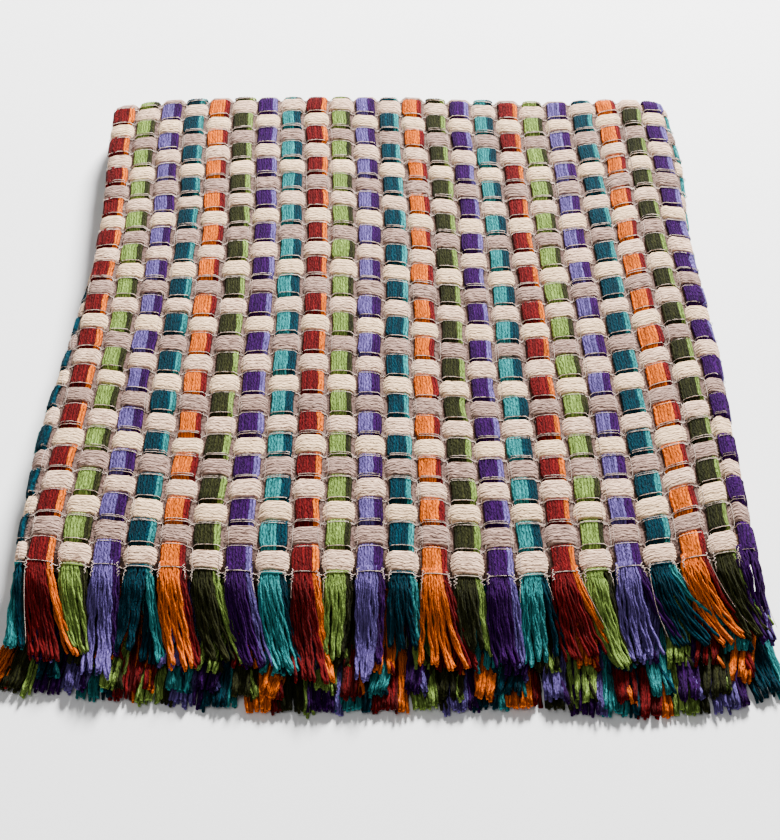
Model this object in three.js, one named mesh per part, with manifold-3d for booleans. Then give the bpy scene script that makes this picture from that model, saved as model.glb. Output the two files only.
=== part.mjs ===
// A folded throw: one thick woven sheet with a fringe along each of its two short ends.
// Both long sides are folded under until they meet, and the doubled strip is folded in half.
// Millimetres. +Z is up, +X runs to the right along the front, and +Y runs away from the front.

import * as THREE from "three";
import { mergeVertices } from "three/addons/utils/BufferGeometryUtils.js";
import Module from "manifold-3d";

// Driving dimensions of the cloth
const PITCH = 25.4; // one warp column, and one weft row
const COLUMNS = 46;
const ROWS = 52;
const CLOTH_THICKNESS = 9;

// Driving dimensions of the folded stack
const FLAP_GAP = 2.5; // between the panel and the flaps folded under it
const HALF_GAP = 5; // between the upper and the lower half
const MEETING_GAP = 6; // between the edges of the two flaps
const FLAP_SHIFT = 10.3; // the flaps meet this far right of the middle
const ORIGIN_X = -6.7; // the middle of the finished throw, in the sheet's own frame
const ORIGIN_Y = 271.7;

// Driving dimensions of the fringe
const FRINGE_GAP = 0.4; // between the cloth and the strip that the strands hang from
const STRIP_WIDTH = 6;
const STRIP_THICKNESS = 5;
const STRAND_HEIGHT = 3.4;
const STRAND_SPACING = 0.5; // least room between neighbouring strands of one layer
const STRAND_ROOT = 3; // how deep a strand starts inside the strip
const SWEEP_POWER = 1.7; // over 1: a sweep starts slowly and is strongest at the tip
const LENGTH_STRIDE = 7; // with LENGTH_CYCLE, scatters the strands' lengths evenly
const LENGTH_CYCLE = 11;

const WIDTH = COLUMNS * PITCH;
const LENGTH = ROWS * PITCH;
const SIDE_RADIUS = (CLOTH_THICKNESS + FLAP_GAP) / 2;
const SIDE_ARC = Math.PI * SIDE_RADIUS;
const DOUBLE_HALF = CLOTH_THICKNESS + FLAP_GAP / 2; // half the height of panel and flap together
const END_RADIUS = DOUBLE_HALF + HALF_GAP / 2;
const END_ARC = Math.PI * END_RADIUS;
const STACK_HEIGHT = 2 * (END_RADIUS + DOUBLE_HALF);
const PANEL_WIDTH = (WIDTH - 2 * SIDE_ARC + MEETING_GAP) / 2;
const LEFT_FLAP = (PANEL_WIDTH - MEETING_GAP) / 2 + FLAP_SHIFT;
const PANEL_START = LEFT_FLAP + SIDE_ARC;
const PANEL_END = PANEL_START + PANEL_WIDTH;
const HALF_LENGTH = (LENGTH - Math.PI * (END_RADIUS + SIDE_RADIUS)) / 2;

// The columns on the top panel are numbered from its left edge, the rows from its front edge.
const FIRST_COLUMN = 13; // the cloth's own column that is number 1 on the panel

// How far the stack's side edges have drifted to the right, in millimetres, at some of its rows.
const SIDE_ROWS = [1, 6, 10, 13, 17, 21, 24];
const SIDE_DRIFT = [
  { column: 0, right: [-15, -12, -2, 3.5, 9, 6, 3] },
  { column: 24, right: [-2.5, -2, 0, -2.5, -3, 1.5, -1.5] },
];

// How far the front and the far edge have drifted away from the front, in millimetres, and how far
// the lowest layer ends in front of the top one.
const END_DRIFT = [
  { column: 0, front: 20, back: -10, reach: 8 },
  { column: 2, front: 13, back: -2, reach: 9 },
  { column: 5, front: 9, back: 3, reach: 11 },
  { column: 8, front: 3, back: 4, reach: 13 },
  { column: 12, front: 3, back: 3, reach: 17 },
  { column: 15, front: -4, back: -3, reach: 8 },
  { column: 18, front: 3, back: -5, reach: 20 },
  { column: 20, front: 9, back: -4, reach: 32 },
  { column: 22, front: 20, back: -2, reach: 36 },
  { column: 23.5, front: 28, back: -9, reach: 32 },
];

// How far the top has sunk, in millimetres, for some columns and at each of SAG_ROWS.
const SAG_ROWS = [0, 3, 13, 24];
const SAG = [
  { column: 1, down: [3, 1.5, 1, 2] },
  { column: 4, down: [2.5, 0, 1.5, 0] },
  { column: 9, down: [3, 1, 0, 1] },
  { column: 14, down: [3.5, 0.5, 2, 0] },
  { column: 19, down: [3, 1, 0.5, 1.5] },
  { column: 23, down: [4, 2, 2, 3] },
];

// The fringe of one layer. A layer's strands bend down within drop and then lie level, with their
// undersides at rest above the floor, and end between shortest and longest from the cloth.
const LAYERS = {
  top: { perColumn: 4, width: 4.2, rest: 12, drop: 68, shortest: 66, longest: 78, steps: 4 },
  upperEdge: { perColumn: 1, width: 4.2, rest: 10, drop: 62, shortest: 60, longest: 66, steps: 4 },
  upperFlap: { perColumn: 2, width: 5, rest: 8.4, drop: 60, shortest: 68, longest: 78, steps: 3 },
  lowerFlap: { perColumn: 2, width: 5, rest: 4, drop: 42, shortest: 72, longest: 82, steps: 3 },
  lowerEdge: { perColumn: 1, width: 4.2, rest: 2, drop: 24, shortest: 76, longest: 82, steps: 4 },
  bottom: { perColumn: 3, width: 5, rest: 0, drop: 15, shortest: 82, longest: 89, steps: 4 },
};

// How far the tassels of some columns sweep to the right at their tips, in millimetres.
const SWEEPS = [
  { column: 0, top: -8, bottom: -10 },
  { column: 2, top: 10, bottom: -6 },
  { column: 3, top: -8, bottom: 4 },
  { column: 4, top: -10, bottom: 0 },
  { column: 6, top: 9, bottom: -4 },
  { column: 9, top: 2, bottom: 6 },
  { column: 11, top: -9, bottom: -2 },
  { column: 13, top: 0, bottom: 3 },
  { column: 16, top: 12, bottom: -3 },
  { column: 17, top: 16, bottom: 4 },
  { column: 19, top: 2, bottom: -4 },
  { column: 21, top: 12, bottom: 2 },
  { column: 23, top: 9, bottom: 14 },
];

const wasm = await Module();
wasm.setup();

function eased(t) {
  return t * t * (3 - 2 * t);
}

// The slope of a curve through the stations, taken from the neighbours on both sides
function slopeAt(stations, values, i) {
  const before = Math.max(i - 1, 0);
  const after = Math.min(i + 1, stations.length - 1);
  return (values[after] - values[before]) / (stations[after] - stations[before]);
}

// The value at one place on a smooth curve through stations that are given in rising order
function between(stations, values, at) {
  const last = stations.length - 1;
  if (at <= stations[0]) return values[0];
  if (at >= stations[last]) return values[last];
  const next = stations.findIndex((station) => station > at);
  const span = stations[next] - stations[next - 1];
  const t = (at - stations[next - 1]) / span;
  const rise = values[next - 1] + (values[next] - values[next - 1]) * eased(t);
  const leave = slopeAt(stations, values, next - 1) * t * (1 - t) * (1 - t);
  const arrive = slopeAt(stations, values, next) * t * t * (1 - t);
  return rise + (leave - arrive) * span;
}

// The value of a table's line list at one row, and then between its columns
function atRow(table, rows, key, column, row) {
  const columns = table.map((line) => line.column);
  const values = table.map((line) => between(rows, line[key], row));
  return between(columns, values, column);
}

function atColumn(table, key, column) {
  const columns = table.map((line) => line.column);
  return between(columns, table.map((line) => line[key]), column);
}

// The column of the panel, counted at the columns' middles, that lies at a place across the stack
function columnAt(x) {
  const s = x + (PANEL_START + PANEL_END) / 2;
  return s / PITCH + 0.5 - (FIRST_COLUMN - 1);
}

// A point of the true stack, moved to where the real one has settled. The layer is the height of
// the middle of the cloth there: lower cloth reaches further out at the front.
function settle(x, y, z, layer) {
  const column = columnAt(x);
  const row = y / PITCH;
  const depth = THREE.MathUtils.clamp(y / HALF_LENGTH, 0, 1);
  const front = atColumn(END_DRIFT, "front", column);
  const back = atColumn(END_DRIFT, "back", column);
  const reach = atColumn(END_DRIFT, "reach", column) * (1 - layer / STACK_HEIGHT) * (1 - depth);
  const right = atRow(SIDE_DRIFT, SIDE_ROWS, "right", column, row);
  const down = atRow(SAG, SAG_ROWS, "down", column, row);
  return new THREE.Vector3(
    x + right - ORIGIN_X,
    y + front + (back - front) * depth - reach - ORIGIN_Y,
    z - (down * z) / STACK_HEIGHT,
  );
}

// The first fold: s runs across the cloth, q out of its face. The result has the place across the
// stack, and the height over the middle of the doubled strip.
function foldSides(s, q) {
  const half = PANEL_WIDTH / 2;
  const reach = SIDE_RADIUS + q;
  if (s < PANEL_START - SIDE_ARC) return [-half + PANEL_START - SIDE_ARC - s, -reach];
  if (s < PANEL_START) {
    const turn = (PANEL_START - s) / SIDE_RADIUS;
    return [-half - reach * Math.sin(turn), reach * Math.cos(turn)];
  }
  if (s <= PANEL_END) return [s - PANEL_START - half, reach];
  if (s <= PANEL_END + SIDE_ARC) {
    const turn = (s - PANEL_END) / SIDE_RADIUS;
    return [half + reach * Math.sin(turn), reach * Math.cos(turn)];
  }
  return [half - (s - PANEL_END - SIDE_ARC), -reach];
}

// The second fold: p runs along the middle of the doubled strip, from the upper front edge.
function foldEnds(p, height) {
  const reach = END_RADIUS + height;
  const middle = STACK_HEIGHT / 2;
  if (p <= HALF_LENGTH) return [p, middle + reach];
  if (p <= HALF_LENGTH + END_ARC) {
    const turn = (p - HALF_LENGTH) / END_RADIUS;
    return [HALF_LENGTH + reach * Math.sin(turn), middle + reach * Math.cos(turn)];
  }
  return [2 * HALF_LENGTH + END_ARC - p, middle - reach];
}

function folded(s, p, q) {
  const [x, height] = foldSides(s, q);
  const [y, z] = foldEnds(p, height);
  return [x, y, z];
}

// Stations that cut a stretch into equal steps, without its last one
function steps(from, to, count) {
  return Array.from({ length: count }, (_, i) => from + ((to - from) * i) / count);
}

function closedMesh(geometry) {
  geometry.deleteAttribute("normal");
  geometry.deleteAttribute("uv");
  return mergeVertices(geometry, 1e-4);
}

// A slab of cloth between two lists of stations, bent along the folds
function foldedSlab(across, along, thickness) {
  const flat = new THREE.BoxGeometry(1, 1, thickness, across.length - 1, along.length - 1, 1);
  const corners = flat.getAttribute("position");
  for (let i = 0; i < corners.count; i += 1) {
    const s = across[Math.round((corners.getX(i) + 0.5) * (across.length - 1))];
    const p = along[Math.round((corners.getY(i) + 0.5) * (along.length - 1))];
    const layer = folded(s, p, 0)[2];
    const place = settle(...folded(s, p, corners.getZ(i)), layer);
    corners.setXYZ(i, place.x, place.y, place.z);
  }
  return closedMesh(flat);
}

// How many flat faces each stretch of the sheet is made of
const FLAP_STEPS = 8;
const SIDE_STEPS = 6;
const PANEL_STEPS = 20;
const UPPER_STEPS = 12;
const END_STEPS = 8;
const LOWER_STEPS = 8;

const DOUBLED_LENGTH = 2 * HALF_LENGTH + END_ARC; // along the middle of the doubled strip
const ACROSS = [
  ...steps(0, PANEL_START - SIDE_ARC, FLAP_STEPS),
  ...steps(PANEL_START - SIDE_ARC, PANEL_START, SIDE_STEPS),
  ...steps(PANEL_START, PANEL_END, PANEL_STEPS),
  ...steps(PANEL_END, PANEL_END + SIDE_ARC, SIDE_STEPS),
  ...steps(PANEL_END + SIDE_ARC, WIDTH, FLAP_STEPS),
  WIDTH,
];
const ALONG = [
  ...steps(0, HALF_LENGTH, UPPER_STEPS),
  ...steps(HALF_LENGTH, HALF_LENGTH + END_ARC, END_STEPS),
  ...steps(HALF_LENGTH + END_ARC, DOUBLED_LENGTH, LOWER_STEPS),
  DOUBLED_LENGTH,
];

// Tips of one layer's strands, moved apart where a sweep would lay one on its neighbour
function keepApart(tips, room) {
  for (let i = 1; i < tips.length; i += 1) {
    tips[i] = Math.max(tips[i], tips[i - 1] + room);
  }
  return tips;
}

// One strand, a three-sided prism that bends down from its root and then lies level
function strand(layer, root, tipX, length) {
  const section = new THREE.Shape([
    new THREE.Vector2(-layer.width / 2, 0),
    new THREE.Vector2(layer.width / 2, 0),
    new THREE.Vector2(0, STRAND_HEIGHT),
  ]);
  const total = length + STRAND_ROOT;
  const options = { depth: 1, steps: layer.steps, bevelEnabled: false };
  const prism = new THREE.ExtrudeGeometry(section, options);
  const corners = prism.getAttribute("position");
  const start = root.z - STRAND_HEIGHT / 2;
  for (let i = 0; i < corners.count; i += 1) {
    const out = corners.getZ(i) * total - STRAND_ROOT;
    const bent = THREE.MathUtils.clamp(out / layer.drop, 0, 1);
    const under = layer.rest + (start - layer.rest) * (1 - eased(bent));
    const swept = Math.pow(Math.max(out, 0) / layer.longest, SWEEP_POWER);
    const x = root.x + (tipX - root.x) * swept + corners.getX(i);
    const place = settle(x, root.y - out, under + corners.getY(i), root.z);
    corners.setXYZ(i, place.x, place.y, place.z);
  }
  return closedMesh(prism);
}

// A run of strands along part of the cloth's end, between two places across the cloth
function strandRun(layer, from, to, front, sweepKey) {
  const count = Math.max(1, Math.round(((to - from) / PITCH) * layer.perColumn));
  const roots = Array.from({ length: count }, (_, i) => {
    const s = from + ((to - from) * (i + 0.5)) / count;
    const [x, y, z] = folded(s, front, 0);
    return new THREE.Vector3(x, y, z);
  });
  roots.sort((a, b) => a.x - b.x);
  const tips = roots.map((root) => root.x + atColumn(SWEEPS, sweepKey, columnAt(root.x)));
  keepApart(tips, layer.width + STRAND_SPACING);
  return roots.map((root, i) => {
    const share = ((i * LENGTH_STRIDE) % LENGTH_CYCLE) / (LENGTH_CYCLE - 1);
    const length = layer.shortest + (layer.longest - layer.shortest) * share;
    return strand(layer, root, tips[i], length);
  });
}

function toSolid(geometry) {
  const vertProperties = new Float32Array(geometry.getAttribute("position").array);
  const triVerts = new Uint32Array(geometry.getIndex().array);
  return new wasm.Manifold(new wasm.Mesh({ numProp: 3, vertProperties, triVerts }));
}

function toGeometry(solid) {
  const { vertProperties, triVerts } = solid.getMesh();
  const geometry = new THREE.BufferGeometry();
  geometry.setAttribute("position", new THREE.BufferAttribute(vertProperties, 3));
  geometry.setIndex(new THREE.BufferAttribute(triVerts, 1));
  return geometry;
}

// The fringe of one end: a narrow strip that follows the folded edge, with its strands
function fringe(stripAlong, front, layers, sweepKey) {
  const strip = foldedSlab(ACROSS, stripAlong, STRIP_THICKNESS);
  const inset = PITCH / 4; // keeps the flaps' last strands off the strip's own ends
  const runs = [
    strandRun(layers.flap, inset, PANEL_START - SIDE_ARC, front, sweepKey),
    strandRun(layers.edge, PANEL_START - SIDE_ARC, PANEL_START, front, sweepKey),
    strandRun(layers.panel, PANEL_START, PANEL_END, front, sweepKey),
    strandRun(layers.edge, PANEL_END, PANEL_END + SIDE_ARC, front, sweepKey),
    strandRun(layers.flap, PANEL_END + SIDE_ARC, WIDTH - inset, front, sweepKey),
  ];
  let whole = toSolid(strip);
  for (const geometry of runs.flat()) {
    whole = whole.add(toSolid(geometry));
  }
  return toGeometry(whole);
}

const UPPER_FRONT = -FRINGE_GAP - STRIP_WIDTH;
const LOWER_FRONT = DOUBLED_LENGTH + FRINGE_GAP + STRIP_WIDTH;

const throwBlanket = new THREE.Group();

function addPiece(name, geometry, color, roughness) {
  geometry.computeVertexNormals();
  const material = new THREE.MeshStandardMaterial({ color, roughness, metalness: 0 });
  const mesh = new THREE.Mesh(geometry, material);
  mesh.name = name;
  throwBlanket.add(mesh);
}

addPiece("throw_cloth", foldedSlab(ACROSS, ALONG, CLOTH_THICKNESS), 0xb9a596, 0.9);
addPiece(
  "fringe_upper",
  fringe(
    [UPPER_FRONT, -FRINGE_GAP],
    UPPER_FRONT,
    { flap: LAYERS.upperFlap, edge: LAYERS.upperEdge, panel: LAYERS.top },
    "top",
  ),
  0x5b3a86,
  0.85,
);
addPiece(
  "fringe_lower",
  fringe(
    [DOUBLED_LENGTH + FRINGE_GAP, LOWER_FRONT],
    LOWER_FRONT,
    { flap: LAYERS.lowerFlap, edge: LAYERS.lowerEdge, panel: LAYERS.bottom },
    "bottom",
  ),
  0x1d7f7c,
  0.85,
);

export default throwBlanket;
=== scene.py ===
"""Looks of a folded throw, woven of thick bundles of yarn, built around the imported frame. Metres.

Everything is laid out on the flat cloth first, by its place across (s), along (v) and out of the
cloth's outer face (q), and is then bent along the folds. Every bundle, thread and loose yarn is a
closed tube: operators spin up its form, and its rings of points are then laid along its line.
"""

import functools
import math

import bmesh
import bpy
import numpy as np
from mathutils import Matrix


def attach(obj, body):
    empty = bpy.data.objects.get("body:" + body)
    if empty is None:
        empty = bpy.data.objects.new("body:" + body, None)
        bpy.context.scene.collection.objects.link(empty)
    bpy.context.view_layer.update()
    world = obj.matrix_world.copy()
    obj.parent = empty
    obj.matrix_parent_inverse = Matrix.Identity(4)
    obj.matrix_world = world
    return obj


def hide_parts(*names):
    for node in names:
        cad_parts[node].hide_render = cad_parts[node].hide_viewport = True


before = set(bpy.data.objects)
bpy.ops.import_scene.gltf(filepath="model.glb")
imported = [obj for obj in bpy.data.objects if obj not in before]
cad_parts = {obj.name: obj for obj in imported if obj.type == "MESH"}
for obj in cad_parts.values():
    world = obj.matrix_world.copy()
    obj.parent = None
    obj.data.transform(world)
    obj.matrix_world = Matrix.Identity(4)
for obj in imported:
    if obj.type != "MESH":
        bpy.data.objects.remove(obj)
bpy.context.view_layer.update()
chance = np.random.default_rng(11)

MM = 0.001

# Camera, at the photo's place and angle
CAMERA_LENS = 73.71
CAMERA_PLACE = (-0.008, -1.1385, 1.1115)
CAMERA_TURN = (44.13, 0, -0.58)

# The flat cloth: 46 warp columns by 52 weft rows, the columns counted from the left flap's edge
PITCH = 25.4 * MM
COLUMNS = 46
ROWS = 52
CLOTH_THICKNESS = 9 * MM
FIRST_COLUMN = 13  # the first column of the top panel
PANEL_COLUMNS = 24
LAST_COLUMN = FIRST_COLUMN + PANEL_COLUMNS - 1
FIRST_LOWER_COLUMN = FIRST_COLUMN - 4  # underneath, where the columns have moved right

# The fold: both sides under to the middle, then in half with the fold at the far edge
FLAP_GAP = 2.5 * MM
HALF_GAP = 5 * MM
MEETING_GAP = 6 * MM
FLAP_SHIFT = 10.3 * MM
ORIGIN_X = -6.7 * MM
ORIGIN_Y = 271.7 * MM
WIDTH = COLUMNS * PITCH
LENGTH = ROWS * PITCH
SIDE_RADIUS = (CLOTH_THICKNESS + FLAP_GAP) / 2
SIDE_ARC = math.pi * SIDE_RADIUS
DOUBLE_HALF = CLOTH_THICKNESS + FLAP_GAP / 2
END_RADIUS = DOUBLE_HALF + HALF_GAP / 2
END_ARC = math.pi * END_RADIUS
OUTER_ARC = math.pi * (END_RADIUS + SIDE_RADIUS)  # the outer cloth's own way round the far fold
STACK_HEIGHT = 2 * (END_RADIUS + DOUBLE_HALF)
PANEL_WIDTH = (WIDTH - 2 * SIDE_ARC + MEETING_GAP) / 2
LEFT_FLAP = (PANEL_WIDTH - MEETING_GAP) / 2 + FLAP_SHIFT
PANEL_START = LEFT_FLAP + SIDE_ARC
PANEL_END = PANEL_START + PANEL_WIDTH
HALF_LENGTH = (LENGTH - OUTER_ARC) / 2
LOWER_SKEW = 3 * PITCH  # how far right the columns have moved where the lower half ends
LOWEST = 0.05 * MM  # nothing of the settled stack is lower than this

# How the stack has settled: columns are the panel's own, sizes are in millimetres
SIDE_ROWS = [1, 6, 10, 13, 17, 21, 24]
SIDE_DRIFT = {0: [-15, -12, -2, 3.5, 9, 6, 3], 24: [-2.5, -2, 0, -2.5, -3, 1.5, -1.5]}
END_COLUMNS = [0, 2, 5, 8, 12, 15, 18, 20, 22, 23.5]
FRONT_DRIFT = [20, 13, 9, 3, 3, -4, 3, 9, 20, 28]
BACK_DRIFT = [-10, -2, 3, 4, 3, -3, -5, -4, -2, -9]
REACH = [8, 9, 11, 13, 17, 8, 20, 32, 36, 32]
SAG_ROWS = [0, 3, 13, 24]
SAG = {
    1: [3, 1.5, 1, 2],
    4: [2.5, 0, 1.5, 0],
    9: [3, 1, 0, 1],
    14: [3.5, 0.5, 2, 0],
    19: [3, 1, 0.5, 1.5],
    23: [4, 2, 2, 3],
}

# How far the weave of the top has drifted to the right and away from the front, at four rows
WEAVE_ROWS = [2, 9, 17, 24]
WEAVE_RIGHT = {
    1: [-10, 0, 4.5, -1],
    5: [-5, 0, 2, -2.5],
    9: [0, 2, 2, -2.5],
    12: [1.5, 1, 1.5, -3],
    15: [3.5, 0, -1, -6],
    18: [4.5, 2, -4, -6],
    20: [6, 2, -2, -4],
    22: [8.5, 5, -2.5, -2.5],
    23: [3, 2, -5, -6.5],
}
WEAVE_AWAY = {
    1: [16, 12, -3, -8],
    5: [4, 0, 2, 3],
    9: [3, 0, 4, 10],
    12: [2.5, -4, -4, 3],
    15: [-1, -10, -13, -3],
    18: [0, -7, -11, -6],
    20: [3, -2, -3, 1],
    22: [19, 14, 11, 13],
    23: [25, 19, 6, 8],
}

# The yarn bundles of the weave
WARP_YARNS = 8
WEFT_YARNS = 6
POINTS_UNDER = 3  # of a bundle's section
WIDTHS = (20.4 * MM, 21.2 * MM)  # of a warp and of a weft bundle
ROUNDNESS = (2.6, 2.6)  # 2 is an ellipse, and more is flatter
RIDGES = (0.34 * MM, 0.26 * MM)  # how far one yarn stands out of its bundle
RAISED = (0.59, 0.4)  # how far from its middle a raised cell reaches, in cells
DIVES = (0.14, 0.14)  # how far from there its dive starts and ends
TAPERS = (0.04, 0.1)  # how much narrower a bundle is where it dives
WANDERS = (0.32 * MM, 0.25 * MM)  # how far the yarns of a warp and of a weft bundle stray
LEAN = 0.75  # how much of a bundle's slope its section leans with
LAST_FINE_ROW = 27  # the rows after it are underneath
TOP_RISE = 2.7 * MM  # how far a bundle's middle rises and dives on the upper half
TOP_THICKNESS = (5.4 * MM, 4.7 * MM)  # of a warp and of a weft bundle
LOW_RISE = 2.1 * MM
LOW_THICKNESS = 4.2 * MM


def colour(red, green, blue):
    """A screen colour from 0 to 255, as the linear values that a material takes."""
    part = np.array([red, green, blue]) / 255
    return np.where(part <= 0.04045, part / 12.92, ((part + 0.055) / 1.055) ** 2.4)


RED, ORANGE = colour(88, 9, 11), colour(198, 89, 0)
LIGHT_GREEN, OLIVE = colour(107, 130, 57), colour(33, 34, 12)
LAVENDER, PURPLE = colour(86, 72, 129), colour(40, 2, 60)
DARK_TEAL, LIGHT_TEAL = colour(0, 40, 51), colour(32, 113, 114)
CREAM, OAT, TAUPE = colour(231, 194, 153), colour(220, 182, 152), colour(160, 129, 115)
THREAD, GROUND = colour(250, 224, 208), colour(98, 76, 68)

FAMILIES = ["red", "green", "purple", "teal"]
# Main and second colour of each column and how many of its eight yarns have the second one,
# repeating every eight columns of the panel
CYCLE = [
    (RED, ORANGE, 2),
    (LIGHT_GREEN, OLIVE, 2),
    (LAVENDER, PURPLE, 3),
    (DARK_TEAL, LIGHT_TEAL, 2),
    (ORANGE, RED, 2),
    (OLIVE, LIGHT_GREEN, 2),
    (PURPLE, LAVENDER, 2),
    (LIGHT_TEAL, DARK_TEAL, 3),
]
WEFT_SHADES = {1: ("oat", OAT), 2: ("taupe", TAUPE), 0: ("cream", CREAM)}
TONE_SPREADS = (0.14, 0.07)  # of the yarns in a warp and in a weft bundle


def family_columns(family):
    """The cloth's columns of one colour family."""
    return [k for k in range(1, COLUMNS + 1) if (k - FIRST_COLUMN) % len(FAMILIES) == family]


def column_colours(column):
    """Main and second colour of a column, and how many of its yarns have the second one."""
    return CYCLE[(column - FIRST_COLUMN) % len(CYCLE)]


def set_camera():
    data = bpy.data.cameras.new("camera")
    data.lens = CAMERA_LENS
    camera = bpy.data.objects.new("camera", data)
    camera.location = CAMERA_PLACE
    camera.rotation_euler = [math.radians(turn) for turn in CAMERA_TURN]
    bpy.context.scene.collection.objects.link(camera)
    bpy.context.scene.camera = camera


def eased(t):
    return t * t * (3 - 2 * t)


def ramp(at, start, end):
    """0 before start, 1 after end and a soft rise between them."""
    return eased(np.clip((at - start) / (end - start), 0, 1))


def picked(values, index):
    return values[index] if values.ndim == 1 else values[index, np.arange(values.shape[1])]


def between(stations, values, at):
    """The values at some places on a smooth curve through rising stations."""
    stations, values = np.asarray(stations, float), np.asarray(values, float)
    last = len(stations) - 1
    at = np.clip(at, stations[0], stations[last])
    after = np.clip(np.searchsorted(stations, at, side="right"), 1, last)
    before = after - 1
    span = stations[after] - stations[before]
    t = (at - stations[before]) / span

    def slope(i):
        low, high = np.maximum(i - 1, 0), np.minimum(i + 1, last)
        return (picked(values, high) - picked(values, low)) / (stations[high] - stations[low])

    start = picked(values, before)
    rise = start + (picked(values, after) - start) * eased(t)
    leave = slope(before) * t * (1 - t) ** 2
    arrive = slope(after) * t * t * (1 - t)
    return rise + (leave - arrive) * span


def in_table(table, rows, column, row):
    """A table's value, in metres, at some columns and rows."""
    lines = np.array([between(rows, line, row) for line in table.values()])
    return between(list(table), lines, column) * MM


def side_drift(column, row):
    return in_table(SIDE_DRIFT, SIDE_ROWS, column, row)


def end_drift(column, depth, layer):
    front = between(END_COLUMNS, FRONT_DRIFT, column)
    back = between(END_COLUMNS, BACK_DRIFT, column)
    reach = between(END_COLUMNS, REACH, column) * (1 - layer / STACK_HEIGHT) * (1 - depth)
    return (front + (back - front) * depth - reach) * MM


def panel_column(s):
    """The panel's column, counted at the columns' middles, at a place across the cloth."""
    return s / PITCH + 0.5 - (FIRST_COLUMN - 1)


def settle(x, y, z, layer):
    """Points of the true stack, moved to where the real one has settled."""
    column = panel_column(x + (PANEL_START + PANEL_END) / 2)
    depth = np.clip(y / HALF_LENGTH, 0, 1)
    down = in_table(SAG, SAG_ROWS, column, y / PITCH)
    right = side_drift(column, y / PITCH)
    away = end_drift(column, depth, layer)
    z = np.maximum(z - down * z / STACK_HEIGHT, LOWEST)  # the floor flattens what lies on it
    return np.stack([x + right - ORIGIN_X, y + away - ORIGIN_Y, z], -1)


def fold_sides(s, q):
    """Place across the stack, and height over the middle of the doubled strip."""
    left = np.clip((PANEL_START - s) / SIDE_RADIUS, 0, math.pi)
    right = np.clip((s - PANEL_END) / SIDE_RADIUS, 0, math.pi)
    under_left = np.maximum(PANEL_START - SIDE_ARC - s, 0)
    under_right = np.maximum(s - PANEL_END - SIDE_ARC, 0)
    outwards = np.sin(right) - np.sin(left)
    flat = np.clip(s, PANEL_START, PANEL_END) - PANEL_START - PANEL_WIDTH / 2
    reach = SIDE_RADIUS + q
    return flat + reach * outwards + under_left - under_right, reach * np.cos(left + right)


def fold_ends(p, height):
    """Place away from the front, and height over the floor."""
    turn = np.clip((p - HALF_LENGTH) / END_RADIUS, 0, math.pi)
    back = np.maximum(p - HALF_LENGTH - END_ARC, 0)
    reach = END_RADIUS + height
    y = np.minimum(p, HALF_LENGTH) + reach * np.sin(turn) - back
    return y, STACK_HEIGHT / 2 + reach * np.cos(turn)


def along_strip(v):
    """A place along the outer cloth, as a place along the middle of the doubled strip."""
    outer = [-1, HALF_LENGTH, HALF_LENGTH + OUTER_ARC, HALF_LENGTH + OUTER_ARC + 2]
    middle = [-1, HALF_LENGTH, HALF_LENGTH + END_ARC, HALF_LENGTH + END_ARC + 2]
    return np.interp(v, outer, middle)


FADE_COLUMNS = 3  # over which the drift of the top dies away beside it


def drifted(s, v):
    """Places on the cloth, moved in its surface as the loose weave of the top has drifted."""
    column, row = panel_column(s), v / PITCH + 0.5
    depth = np.clip(v / HALF_LENGTH, 0, 1)
    layer = STACK_HEIGHT - CLOTH_THICKNESS / 2
    right = in_table(WEAVE_RIGHT, WEAVE_ROWS, column, row) - side_drift(column, v / PITCH)
    away = in_table(WEAVE_AWAY, WEAVE_ROWS, column, row) - end_drift(column, depth, layer)
    on_top = 1 - ramp(v, HALF_LENGTH, HALF_LENGTH + OUTER_ARC + PITCH)
    on_top = on_top * ramp(column, -FADE_COLUMNS, 0)
    on_top = on_top * (1 - ramp(column, PANEL_COLUMNS, PANEL_COLUMNS + FADE_COLUMNS))
    under = np.clip((v - HALF_LENGTH - OUTER_ARC / 2) / (LENGTH - HALF_LENGTH - OUTER_ARC / 2), 0, 1)
    s = s + right * on_top + LOWER_SKEW * under
    return s, v + away * on_top * ramp(v, 0, 2 * PITCH)


def laid(s, v, q):
    """Points of the flat cloth, where they lie in the folded throw."""
    s, v = drifted(s, v)
    p = along_strip(v)
    x, height = fold_sides(s, q)
    y, z = fold_ends(p, height)
    layer = fold_ends(p, fold_sides(s, 0)[1])[1]
    return settle(x, y, z, layer)


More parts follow.
